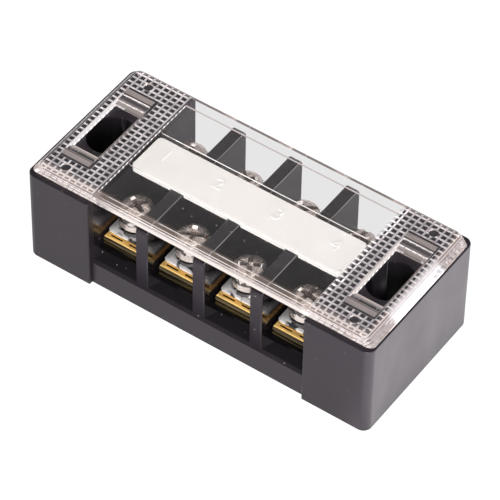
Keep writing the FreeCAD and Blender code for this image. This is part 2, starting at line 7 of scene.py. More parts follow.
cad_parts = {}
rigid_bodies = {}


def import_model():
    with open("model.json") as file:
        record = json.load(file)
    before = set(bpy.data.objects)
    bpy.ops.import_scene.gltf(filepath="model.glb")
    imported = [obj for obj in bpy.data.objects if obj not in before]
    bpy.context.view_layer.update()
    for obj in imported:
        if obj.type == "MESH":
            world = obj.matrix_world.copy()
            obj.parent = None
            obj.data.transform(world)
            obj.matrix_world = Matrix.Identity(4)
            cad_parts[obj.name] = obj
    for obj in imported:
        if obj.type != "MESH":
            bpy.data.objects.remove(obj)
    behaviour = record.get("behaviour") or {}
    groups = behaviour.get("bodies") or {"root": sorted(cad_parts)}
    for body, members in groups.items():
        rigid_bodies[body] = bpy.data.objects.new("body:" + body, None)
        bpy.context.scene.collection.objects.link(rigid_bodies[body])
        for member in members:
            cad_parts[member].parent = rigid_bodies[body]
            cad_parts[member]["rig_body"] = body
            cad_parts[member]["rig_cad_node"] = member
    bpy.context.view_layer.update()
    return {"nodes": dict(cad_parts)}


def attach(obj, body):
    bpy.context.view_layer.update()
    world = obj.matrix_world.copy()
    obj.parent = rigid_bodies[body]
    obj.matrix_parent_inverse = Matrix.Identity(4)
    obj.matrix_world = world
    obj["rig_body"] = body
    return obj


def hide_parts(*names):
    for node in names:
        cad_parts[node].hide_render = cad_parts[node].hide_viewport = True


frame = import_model()

# Barrier terminal strip with a clear cover. Pieces are modelled in millimetres and
# brought to metres when they are finished. Places in the materials are in metres.
MM = 0.001

# ---- places and sizes, in millimetres ----
PITCH = 12.0
POLES = (-18.0, -6.0, 6.0, 18.0)
FINS = (-12.0, 0.0, 12.0)
HALF_BAYS = 22.55
SIDES = (("front", -1), ("back", 1))

# the clamps: how high each piece stands, and how far it is turned, in degrees
SCREW_Y = 7.9
PLATE_LOW = 10.1
WASHER_LOW = 11.0
HEAD_LOW = 12.35
SLOT_TURNS = {"front": (62, 24, 118, 80), "back": (15, 140, 48, 96)}
SPLIT_TURNS = {"front": -102, "back": 78}

# the marker strip, the channel below it, and its raised numbers
STRIP_X, STRIP_Y = 21.95, 4.35
STRIP_LOW, STRIP_TOP = 19.05, 20.25
CHANNEL_Y, CHANNEL_TOP = 3.75, 19.55
NOTCH_X, NOTCH_NEAR, NOTCH_FAR = 1.4, 3.7, 5.0
BELOW_STRIP = 18.0
NUMBER_PLACES = ((-18.2, 0.85), (-6.85, 0.85), (5.6, 0.85), (17.6, 0.85))
NUMBER_SIZE = 3.9

# the cover
COVER_X, COVER_Y = 35.7, 14.95
COVER_LOW, COVER_TOP = 20.23, 21.8
COVER_LEAN = 1.2
HOLLOW_Y, HOLLOW_TOP = 12.95, 20.65
WINDOWS = (-30.0, 29.45)
WINDOW_X = 3.05
BELOW_COVER, ABOVE_COVER = 19.0, 23.0
WINDOW_STEPS = ((6.2, BELOW_COVER), (7.05, 20.8), (8.3, 21.3))
DIMPLE_X, DIMPLE_Y = 30.1, 12.1
DIMPLE_RADIUS, DIMPLE_LOW = 0.95, 21.5
RIBS = (-4.75, 4.75, -14.0)
RIB_X, RIB_Y = 21.75, 0.52
RIB_LOW, RIB_TOP = 21.7, 22.0
CELLS_FROM, CELLS_TO = 22.5, 34.5
CELL_X, CELL_Y = 1.29, 1.2
CELL_INSET, CELL_RISE = 0.22, 0.17
SMALLEST_CELL = 0.7
CLEAR_OF_WINDOWS = 9.75
LEG_X, LEG_HALF = 29.45, 1.8
LEG_NEAR, LEG_FAR = 6.35, 7.55
LEG_LOW, LEG_TOP = 17.2, 20.5

# the photograph's camera
CAMERA_ANGLES = (34.24, 47.28, 1.164)
CAMERA_PLACE = (234.886, -344.188, 460.292)
CAMERA_LENS = 253.68
CAMERA_SHIFT = (-0.0008, 0.00075)


# ---- handling ----

def put_down():
    """Leave edit mode with nothing selected."""
    active = bpy.context.view_layer.objects.active
    if active is not None and active.mode != "OBJECT":
        bpy.ops.object.mode_set(mode="OBJECT")
    bpy.ops.object.select_all(action="DESELECT")


def pick_up(piece):
    """Make a piece the only one selected."""
    put_down()
    piece.select_set(True)
    bpy.context.view_layer.objects.active = piece


def settle(piece):
    """Put a piece's place, turn and size into its mesh."""
    pick_up(piece)
    bpy.ops.object.transform_apply(location=True, rotation=True, scale=True)
    return piece


def open_edit(piece):
    """Open a piece for editing with everything selected."""
    pick_up(piece)
    bpy.ops.object.mode_set(mode="EDIT")
    bpy.ops.mesh.select_all(action="SELECT")


def close_edit():
    bpy.ops.object.mode_set(mode="OBJECT")


def block(name, low, high):
    put_down()
    centre = [(a + b) / 2 for a, b in zip(low, high)]
    bpy.ops.mesh.primitive_cube_add(size=1, location=centre)
    piece = bpy.context.object
    piece.name = name
    piece.scale = [b - a for a, b in zip(low, high)]
    return settle(piece)


def rod(name, x, y, radius, low, high, sides):
    put_down()
    bpy.ops.mesh.primitive_cylinder_add(
        vertices=sides, radius=radius, depth=high - low, location=(x, y, (low + high) / 2)
    )
    piece = bpy.context.object
    piece.name = name
    return settle(piece)


def select_parts(piece, mode, parts, test):
    """Open a piece for editing with those of its faces or edges selected that the test picks."""
    pick_up(piece)
    bpy.ops.object.mode_set(mode="EDIT")
    bpy.ops.mesh.select_mode(type=mode)
    bpy.ops.mesh.select_all(action="DESELECT")
    bpy.ops.object.mode_set(mode="OBJECT")
    for part in getattr(piece.data, parts):
        part.select = bool(test(part))
    bpy.ops.object.mode_set(mode="EDIT")


def select_faces(piece, test):
    select_parts(piece, "FACE", "polygons", test)


def select_edges(piece, test):
    """Select the edges whose two ends the test accepts."""
    def both_ends(edge):
        a, b = (piece.data.vertices[i].co for i in edge.vertices)
        return test(a, b)

    select_parts(piece, "EDGE", "edges", both_ends)


def near(a, b, room=1e-3):
    return abs(a - b) < room


def upright(a, b):
    """Do these two ends stand at different heights?"""
    return not near(a.z, b.z)


def level_at(height):
    """A test for the edges that lie at a height."""
    return lambda a, b: near(a.z, height) and near(b.z, height)


def round_edges(piece, test, width, segments):
    """Bevel the edges that the test picks."""
    select_edges(piece, test)
    bpy.ops.mesh.bevel(offset=width, offset_type="OFFSET", segments=segments, affect="EDGES")
    close_edit()


def fit_modifier(piece, kind, **settings):
    """Add a modifier with these settings and apply it."""
    pick_up(piece)
    modifier = piece.modifiers.new(kind.title(), kind)
    for key, setting in settings.items():
        setattr(modifier, key, setting)
    bpy.ops.object.modifier_apply(modifier=modifier.name)
    return piece


def cut(piece, tool):
    """Cut a tool's shape out of a piece and take the tool away."""
    fit_modifier(piece, "BOOLEAN", operation="DIFFERENCE", solver="EXACT", object=tool)
    bpy.data.objects.remove(tool)


def add_on(piece, other):
    """Make another shape one with a piece."""
    fit_modifier(piece, "BOOLEAN", operation="UNION", solver="EXACT", object=other)
    bpy.data.objects.remove(other)


def gather(piece, others):
    """Join other closed shapes to a piece, each left as it is."""
    put_down()
    for part in (*others, piece):
        part.select_set(True)
    bpy.context.view_layer.objects.active = piece
    bpy.ops.object.join()


def clean(piece):
    """Merge doubled points and turn every face outwards."""
    open_edit(piece)
    bpy.ops.mesh.remove_doubles(threshold=1e-4)
    bpy.ops.mesh.normals_make_consistent(inside=False)
    close_edit()


def smooth(piece, angle, flat=None):
    """Shade smoothly up to an angle in degrees; the faces that flat picks are shaded flat."""
    pick_up(piece)
    bpy.ops.object.shade_smooth_by_angle(angle=math.radians(angle))
    if flat is not None:
        select_faces(piece, flat)
        bpy.ops.mesh.faces_shade_flat()
        close_edit()
    fit_modifier(piece, "WEIGHTED_NORMAL", keep_sharp=True, weight=90)


def drawn(name, points):
    """A line drawn from point to point: one corner of a plane, extruded along the rest."""
    put_down()
    bpy.ops.mesh.primitive_plane_add(size=0.01, location=(0, 0, 0))
    piece = bpy.context.object
    piece.name = name
    bpy.ops.object.mode_set(mode="EDIT")
    bpy.ops.mesh.select_all(action="SELECT")
    bpy.ops.mesh.merge(type="CENTER")
    bpy.ops.mesh.select_mode(type="VERT")
    bpy.ops.mesh.select_all(action="SELECT")
    bpy.ops.transform.translate(value=points[0])
    for start, end in zip(points, points[1:]):
        step = Vector(end) - Vector(start)
        bpy.ops.mesh.extrude_region_move(TRANSFORM_OT_translate={"value": step})
    close_edit()
    return piece


def wind(piece, steps, rise=0.0, turns=1):
    """Wind a drawn line round the upright axis, rising as much in each turn."""
    fit_modifier(
        piece, "SCREW", angle=2 * math.pi, screw_offset=rise, iterations=turns, steps=steps,
        render_steps=steps, use_merge_vertices=True, merge_threshold=1e-3,
    )
    clean(piece)


def fill_ends(piece):
    """Close the open ends of a wound shape."""
    open_edit(piece)
    bpy.ops.mesh.fill_holes(sides=0)
    close_edit()
    clean(piece)


def to_metres(piece):
    piece.scale = (MM, MM, MM)
    return settle(piece)


def copy_of(piece, name):
    twin = piece.copy()
    twin.data = piece.data.copy()
    twin.name = name
    bpy.context.scene.collection.objects.link(twin)
    return twin


def finish_piece(piece, material, body, node_name):
    """Bring a piece to metres, give it its finish, say what it rides on, and hide the CAD node that it
    stands for.
    """
    to_metres(piece)
    piece.data.materials.clear()
    piece.data.materials.append(material)
    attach(piece, body)
    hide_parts(node_name)


def faces_down(face):
    return face.normal.z < -0.99


def cad_copy(node_name, name):
    """A CAD node's shape in millimetres, with its flat faces whole except those underneath."""
    piece = copy_of(frame["nodes"][node_name], name)
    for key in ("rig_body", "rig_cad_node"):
        if key in piece:
            del piece[key]
    piece.parent = None
    piece.scale = (1 / MM, 1 / MM, 1 / MM)
    settle(piece)
    open_edit(piece)
    bpy.ops.mesh.remove_doubles(threshold=1e-4)
    close_edit()
    select_faces(piece, lambda face: face.normal.z > -0.99)
    bpy.ops.mesh.dissolve_limited(angle_limit=math.radians(0.3))
    close_edit()
    return piece


# ---- materials: handling of nodes ----

UNLIT = (0.0, 0.0, 0.0)


def new_group(name, inputs, outputs):
    """An empty node group with these sockets: (name, kind, value) and (name, kind)."""
    group = bpy.data.node_groups.new(name, "ShaderNodeTree")
    for label, kind, value in inputs:
        socket = group.interface.new_socket(label, in_out="INPUT", socket_type=kind)
        socket.default_value = value
    for label, kind in outputs:
        group.interface.new_socket(label, in_out="OUTPUT", socket_type=kind)
    return group, group.nodes.new("NodeGroupInput"), group.nodes.new("NodeGroupOutput")


def node(tree, kind, **settings):
    made = tree.nodes.new(kind)
    for key, setting in settings.items():
        setattr(made, key, setting)
    return made


def join(tree, source, target):
    tree.links.new(source, target)


def give(tree, item, socket):
    """Set a socket to a number or a colour, or join another node's output to it."""
    if isinstance(item, (int, float)):
        socket.default_value = item
    elif isinstance(item, tuple):
        socket.default_value = item + (1.0,)
    else:
        join(tree, item, socket)


def maths(tree, operation, *items):
    """A Math node; each of its inputs is a number or another node's output."""
    made = node(tree, "ShaderNodeMath", operation=operation)
    for socket, item in zip(made.inputs, items):
        give(tree, item, socket)
    return made.outputs[0]


def times(tree, product, *items):
    """The product of two or more values."""
    for item in items:
        product = maths(tree, "MULTIPLY", product, item)
    return product


def size_of(tree, item):
    return maths(tree, "ABSOLUTE", item)


def span(tree, item, low, high, to_low=0.0, to_high=1.0, **settings):
    """A Map Range node on one value: from nothing at low to one at high, if not told otherwise."""
    made = node(tree, "ShaderNodeMapRange", clamp=True, **settings)
    join(tree, item, made.inputs["Value"])
    labels = ("From Min", "From Max", "To Min", "To Max")
    for label, number in zip(labels, (low, high, to_low, to_high)):
        made.inputs[label].default_value = number
    return made.outputs["Result"]


def fall(tree, item, low, high):
    """One up to low, and nothing from high on."""
    return span(tree, item, low, high, 1.0, 0.0)


def band(tree, item, low, high, soft=0.00006):
    """One between low and high, and nothing outside them."""
    rise = span(tree, item, low - soft, low + soft)
    return times(tree, rise, fall(tree, item, high - soft, high + soft))


def noise(tree, vector, scale, detail=3.0, roughness=0.5, stretch=None, distortion=0.0):
    """A Noise Texture; stretch scales the pattern along the three axes."""
    made = node(tree, "ShaderNodeTexNoise")
    if stretch is not None:
        mapping = node(tree, "ShaderNodeMapping")
        mapping.inputs["Scale"].default_value = stretch
        join(tree, vector, mapping.inputs["Vector"])
        vector = mapping.outputs["Vector"]
    join(tree, vector, made.inputs["Vector"])
    give(tree, scale, made.inputs["Scale"])
    made.inputs["Detail"].default_value = detail
    made.inputs["Roughness"].default_value = roughness
    made.inputs["Distortion"].default_value = distortion
    return made.outputs["Fac"]


def blend_colour(tree, factor, first, second, mode="MIX"):
    """A colour mix; first and second are colours or another node's output."""
    made = node(tree, "ShaderNodeMix", data_type="RGBA", blend_type=mode)
    for number, item in ((0, factor), (6, first), (7, second)):
        give(tree, item, made.inputs[number])
    return made.outputs[2]


def mix_shaders(tree, factor, first, second):
    made = node(tree, "ShaderNodeMixShader")
    for socket, item in zip(made.inputs, (factor, first, second)):
        join(tree, item, socket)
    return made.outputs[0]


def axes(tree, vector):
    """The three parts of a vector."""
    split = node(tree, "ShaderNodeSeparateXYZ")
    join(tree, vector, split.inputs["Vector"])
    return [split.outputs[axis] for axis in "XYZ"]


def facing(tree):
    """The three parts of the way that a face looks."""
    return axes(tree, node(tree, "ShaderNodeTexCoord").outputs["Normal"])


def from_pole(tree, x):
    """How far a place is to the right of the middle of its pole."""
    moved = maths(tree, "ADD", x, 4 * PITCH * MM)
    return maths(tree, "SUBTRACT", maths(tree, "MODULO", moved, PITCH * MM), PITCH / 2 * MM)


def make_dust_group():
    """Small pale specks that lie thinly over a surface."""
    group, given, result = new_group(
        "dust specks",
        (
            ("Vector", "NodeSocketVector", (0, 0, 0)),
            ("Size", "NodeSocketFloat", 700.0),
            ("Amount", "NodeSocketFloat", 0.12),
        ),
        (("Mask", "NodeSocketFloat"),),
    )
    cells = node(group, "ShaderNodeTexVoronoi", feature="F1")
    join(group, given.outputs["Vector"], cells.inputs["Vector"])
    join(group, given.outputs["Size"], cells.inputs["Scale"])
    cells.inputs["Randomness"].default_value = 1.0
    chance = node(group, "ShaderNodeSeparateColor")
    join(group, cells.outputs["Color"], chance.inputs["Color"])
    here = maths(group, "LESS_THAN", chance.outputs["Red"], given.outputs["Amount"])
    size = span(group, chance.outputs["Green"], 0.0, 1.0, 0.05, 0.16)
    speck = maths(group, "LESS_THAN", cells.outputs["Distance"], size)
    strength = span(group, chance.outputs["Blue"], 0.0, 1.0, 0.25, 1.0)
    join(group, times(group, here, speck, strength), result.inputs["Mask"])
    return group


def make_grain_group():
    """Fine moulded grain: a height for the bump, and a slow change of sheen."""
    group, given, result = new_group(
        "moulded grain",
        (("Vector", "NodeSocketVector", (0, 0, 0)), ("Size", "NodeSocketFloat", 4000.0)),
        (("Height", "NodeSocketFloat"), ("Sheen", "NodeSocketFloat")),
    )
    vector = given.outputs["Vector"]
    fine = noise(group, vector, given.outputs["Size"], detail=2.0)
    coarse = noise(group, vector, times(group, given.outputs["Size"], 0.12))
    join(group, maths(group, "MULTIPLY_ADD", coarse, 0.6, fine), result.inputs["Height"])
    join(group, noise(group, vector, 160.0, detail=4.0, roughness=0.6), result.inputs["Sheen"])
    return group


def make_metal_group():
    """Rolled or turned metal: fine streaks along X, and soft blotches of tarnish."""
    group, given, result = new_group(
        "worked metal",
        (("Vector", "NodeSocketVector", (0, 0, 0)), ("Size", "NodeSocketFloat", 1500.0)),
        (("Streaks", "NodeSocketFloat"), ("Tarnish", "NodeSocketFloat")),
    )
    vector = given.outputs["Vector"]
    streaks = noise(group, vector, given.outputs["Size"], stretch=(0.06, 1.0, 1.0))
    tarnish = noise(group, vector, times(group, given.outputs["Size"], 0.3), detail=4.0, roughness=0.6)
    join(group, streaks, result.inputs["Streaks"])
    join(group, span(group, tarnish, 0.45, 0.72), result.inputs["Tarnish"])
    return group


DUST = make_dust_group()
GRAIN = make_grain_group()
METAL = make_metal_group()


def use_group(tree, group, vector, **values):
    made = node(tree, "ShaderNodeGroup", node_tree=group)
    join(tree, vector, made.inputs["Vector"])
    for label, number in values.items():
        made.inputs[label].default_value = number
    return made


def new_material(name):
    """A material with its shader, and the piece's own coordinates."""
    material = bpy.data.materials.new(name)
    material.use_nodes = True
    tree = material.node_tree
    place = node(tree, "ShaderNodeTexCoord").outputs["Object"]
    return material, tree, tree.nodes["Principled BSDF"], place


def set_bump(tree, shader, height, strength):
    bump = node(tree, "ShaderNodeBump")
    bump.inputs["Strength"].default_value = strength
    bump.inputs["Distance"].default_value = 0.02 * MM
    join(tree, height, bump.inputs["Height"])
    join(tree, bump.outputs["Normal"], shader.inputs["Normal"])


def set_glow(tree, shader, colour):
    """Light that a surface gives off."""
    join(tree, colour, shader.inputs["Emission Color"])
    shader.inputs["Emission Strength"].default_value = 1.0


# ---- materials: finishes ----

def black_plastic():
    """Black moulded plastic, satin outside and glossy in the bays, with a little dust, painted shade and
    painted light.
    """
    material, tree, shader, place = new_material("black moulded plastic")
    grain = use_group(tree, GRAIN, place, Size=5200.0)
    dust = use_group(tree, DUST, place, Size=1100.0, Amount=0.09)
    sheen = grain.outputs["Sheen"]
    x, y, z = axes(tree, place)
    nx, ny, _ = facing(tree)
    far_x, far_y = size_of(tree, x), size_of(tree, y)

    # the bays with their upright lips, and the recesses round the mounting slots
    bays = times(tree, fall(tree, far_x, 0.02248, 0.02262), fall(tree, far_y, 0.0144, 0.0147))
    lightened_lips = times(tree, span(tree, size_of(tree, ny), 0.85, 0.95), fall(tree, z, 0.0098, 0.01), bays)
    inside = times(tree, bays, maths(tree, "SUBTRACT", 1.0, lightened_lips))
    recess = times(
        tree,
        span(tree, far_x, 0.0262, 0.0264), fall(tree, far_x, 0.0333, 0.0335),
        fall(tree, far_y, 0.0062, 0.0064), fall(tree, z, 0.0196, 0.0198),
    )

    flow = noise(tree, place, 90.0, stretch=(1.0, 1.0, 0.25), distortion=0.6)
    satin = maths(
        tree, "ADD", span(tree, sheen, 0.3, 0.7, 0.3, 0.36), span(tree, flow, 0.35, 0.65, 0.0, 0.08)
    )
    rough = node(tree, "ShaderNodeMix", data_type="FLOAT")
    join(tree, inside, rough.inputs[0])
    join(tree, satin, rough.inputs[2])
    join(tree, span(tree, sheen, 0.3, 0.7, 0.07, 0.15), rough.inputs[3])
    dusty = maths(tree, "MAXIMUM", rough.outputs[0], dust.outputs["Mask"])
    join(tree, dusty, shader.inputs["Roughness"])

    tone = blend_colour(tree, sheen, (0.0118, 0.0094, 0.0128), (0.0155, 0.0126, 0.017))
    # painted shade: the bays and the recesses round the mounting slots are painted darker
    tone = blend_colour(tree, maths(tree, "MAXIMUM", inside, recess), tone, (0.0045, 0.004, 0.0048))
    # painted light: the upright lips in the bays are painted a lighter grey
    tone = blend_colour(tree, lightened_lips, tone, (0.17, 0.155, 0.18))
    colour = blend_colour(tree, dust.outputs["Mask"], tone, (0.32, 0.3, 0.28))
    join(tree, colour, shader.inputs["Base Color"])

    # painted highlight: a glow along the fins' right-hand top edges, as if they caught the light
    edge = times(
        tree, band(tree, nx, 0.4, 0.85, 0.05), span(tree, z, 0.0191, 0.0192),
        fall(tree, far_x, 0.0148, 0.015), span(tree, flow, 0.3, 0.7, 0.5, 1.0),
    )
    set_glow(tree, shader, blend_colour(tree, edge, UNLIT, (0.3, 0.28, 0.285)))
    shader.inputs["Specular IOR Level"].default_value = 0.42
    shader.inputs["Specular Tint"].default_value = (1.0, 0.93, 1.0, 1)
    height = times(tree, grain.outputs["Height"], span(tree, inside, 0.0, 1.0, 1.0, 0.25))
    set_bump(tree, shader, height, 0.35)
    return material


def white_plastic():
    """Slightly warm white moulding with the finest grain."""
    material, tree, shader, place = new_material("white moulded plastic")
    grain = use_group(tree, GRAIN, place, Size=4200.0)
    dust = use_group(tree, DUST, place, Size=420.0, Amount=0.05)
    tone = blend_colour(tree, grain.outputs["Sheen"], (0.64, 0.625, 0.61), (0.68, 0.665, 0.65))
    colour = blend_colour(tree, dust.outputs["Mask"], tone, (0.3, 0.26, 0.22))
    join(tree, colour, shader.inputs["Base Color"])
    join(tree, span(tree, grain.outputs["Sheen"], 0.3, 0.7, 0.4, 0.5), shader.inputs["Roughness"])
    set_bump(tree, shader, grain.outputs["Height"], 0.25)
    return material


def brass():
    """Rolled brass: gold with painted light on top, a painted dark reflection in front, and painted
    shade in the slits.
    """
    material, tree, shader, place = new_material("rolled brass")
    metal = use_group(tree, METAL, place, Size=2600.0)
    z = axes(tree, place)[2]
    _, ny, nz = facing(tree)
    far_ny = size_of(tree, ny)

    gold = blend_colour(tree, metal.outputs["Streaks"], (1.0, 0.58, 0.16), (1.0, 0.76, 0.3))
    colour = blend_colour(tree, metal.outputs["Tarnish"], gold, (0.62, 0.4, 0.13))
    rolled = noise(tree, place, 1700.0, stretch=(0.05, 1.0, 1.0))
    dark_lines = span(tree, rolled, 0.38, 0.46, 0.4, 0.0)
    colour = blend_colour(tree, dark_lines, colour, (0.2, 0.11, 0.03))
    # painted reflection: the front faces are painted dark olive with lines, for the dark ledge that they
    # mirror
    mirroring_front = span(tree, far_ny, 0.4, 0.62)
    lines = noise(tree, place, 2200.0, detail=2.0, stretch=(0.03, 1.0, 1.0))
    dark_reflection_tone = blend_colour(tree, span(tree, lines, 0.42, 0.58), (0.012, 0.01, 0.007), (0.13, 0.095, 0.04))
    colour = blend_colour(tree, mirroring_front, colour, dark_reflection_tone)
    # painted shade: the floors of the slits are painted almost black
    slits = times(tree, fall(tree, z, 0.0092, 0.00932), span(tree, nz, 0.6, 0.8))
    colour = blend_colour(tree, slits, colour, (0.006, 0.005, 0.004))
    join(tree, colour, shader.inputs["Base Color"])

    # painted highlights: the top and the bend above the front glow as if they caught the light
    bend_highlight = times(tree, band(tree, far_ny, 0.12, 0.45, 0.05), span(tree, nz, 0.5, 0.6))
    top = times(
        tree, span(tree, nz, 0.9, 0.95), span(tree, z, 0.0093, 0.00934),
        maths(tree, "SUBTRACT", 1.0, dark_lines),
    )
    lit = blend_colour(tree, top, UNLIT, (0.17, 0.1, 0.03))
    set_glow(tree, shader, blend_colour(tree, bend_highlight, lit, (0.5, 0.36, 0.14)))
    shader.inputs["Metallic"].default_value = 0.58
    join(tree, span(tree, metal.outputs["Streaks"], 0.3, 0.7, 0.16, 0.32), shader.inputs["Roughness"])
    set_bump(tree, shader, metal.outputs["Streaks"], 0.5)
    return material


def steel(name, bright, dull, smoothest, roughest, size):
    """Worked steel in two tones, from smooth to slightly satin; returns what a head adds to."""
    material, tree, shader, place = new_material(name)
    metal = use_group(tree, METAL, place, Size=size)
    tone = blend_colour(tree, metal.outputs["Streaks"], bright, tuple(0.86 * c for c in bright))
    colour = blend_colour(tree, metal.outputs["Tarnish"], tone, dull)
    join(tree, colour, shader.inputs["Base Color"])
    shader.inputs["Metallic"].default_value = 1.0
    rough = span(tree, metal.outputs["Streaks"], 0.3, 0.7, smoothest, roughest)
    join(tree, rough, shader.inputs["Roughness"])
    set_bump(tree, shader, metal.outputs["Streaks"], 0.4)
    return material, tree, shader, place, colour


def spring_steel():
    return steel("dark spring steel", (0.16, 0.155, 0.16), (0.09, 0.085, 0.085), 0.16, 0.28, 2400.0)[0]


def plated_screw():
    """Nickel-plated steel: a brushed top, painted shade in the recess and a painted highlight round the
    recess.
    """
    material, tree, shader, place, colour = steel(
        "nickel-plated screw", (0.9, 0.82, 0.77), (0.62, 0.55, 0.5), 0.16, 0.32, 2000.0
    )
    x, y, z = axes(tree, place)
    nz = facing(tree)[2]
    dx = from_pole(tree, x)
    dy = maths(tree, "SUBTRACT", size_of(tree, y), SCREW_Y * MM)
    radius = maths(tree, "SQRT", maths(tree, "ADD", times(tree, dx, dx), times(tree, dy, dy)))

    # the brushed top, painted shade in the recess, and a darker shoulder
    near_middle = fall(tree, radius, 0.0027, 0.0029)
    brushed = noise(tree, place, 2600.0, stretch=(1.0, 0.15, 1.0), distortion=0.4)
    top = blend_colour(tree, span(tree, brushed, 0.35, 0.65), (0.46, 0.4, 0.365), (0.78, 0.69, 0.64))
    colour = blend_colour(tree, times(tree, near_middle, span(tree, z, 0.0149, 0.0150)), colour, top)
    recess = times(tree, near_middle, fall(tree, z, 0.01515, 0.0153), span(tree, z, 0.0124, 0.0125))
    colour = blend_colour(tree, recess, colour, (0.4, 0.34, 0.31))
    shoulder = times(tree, span(tree, radius, 0.0024, 0.0028), span(tree, nz, 0.1, 0.3))
    colour = blend_colour(tree, shoulder, colour, (0.42, 0.36, 0.33))

    # painted reflection: the head's upright side is painted dark above a wavering line, with painted
    # glints
    wobble = maths(tree, "MULTIPLY_ADD", noise(tree, place, 700.0, detail=1.0), 0.0012, 0.0131)
    glint = span(tree, noise(tree, place, 900.0, detail=1.0), 0.52, 0.6)
    dark_reflection = blend_colour(tree, glint, (0.1, 0.088, 0.082), (0.8, 0.74, 0.7))
    above = times(
        tree, maths(tree, "GREATER_THAN", z, wobble), fall(tree, size_of(tree, nz), 0.25, 0.4),
        span(tree, radius, 0.00305, 0.0031),
    )
    colour = blend_colour(tree, above, colour, dark_reflection)
    join(tree, colour, shader.inputs["Base Color"])

    # painted highlight: a glowing line round the recess, broken here and there
    broken = span(tree, noise(tree, place, 1500.0, detail=1.0), 0.35, 0.5, 0.3, 1.3)
    rim = times(
        tree, span(tree, nz, 0.2, 0.35), fall(tree, nz, 0.78, 0.84), fall(tree, radius, 0.0024, 0.0026),
        span(tree, z, 0.0152, 0.0153), broken,
    )
    set_glow(tree, shader, blend_colour(tree, rim, UNLIT, (1.0, 0.95, 0.92)))
    shader.inputs["Metallic"].default_value = 0.85
    return material


def bright_plate():
    """Bright nickel plating: white, with a painted shadow of the head in dark curves to the right."""
    material, tree, shader, place = new_material("bright nickel plate")
    metal = use_group(tree, METAL, place, Size=1800.0)
    bright = blend_colour(tree, metal.outputs["Tarnish"], (0.97, 0.95, 0.96), (0.8, 0.77, 0.77))
    # painted shadow: dark curves to the right of each screw stand for the head's shadow
    curves = noise(tree, place, 380.0, detail=1.5, stretch=(1.0, 1.5, 1.0), distortion=1.2)
    broken = blend_colour(tree, span(tree, curves, 0.46, 0.54), (0.05, 0.047, 0.05), bright)
    head_shadow_side = span(tree, from_pole(tree, axes(tree, place)[0]), -0.0024, -0.0018)
    join(tree, blend_colour(tree, head_shadow_side, bright, broken), shader.inputs["Base Color"])
    shader.inputs["Metallic"].default_value = 0.6
    join(tree, span(tree, metal.outputs["Streaks"], 0.3, 0.7, 0.1, 0.24), shader.inputs["Roughness"])
    set_bump(tree, shader, metal.outputs["Streaks"], 0.3)
    return material


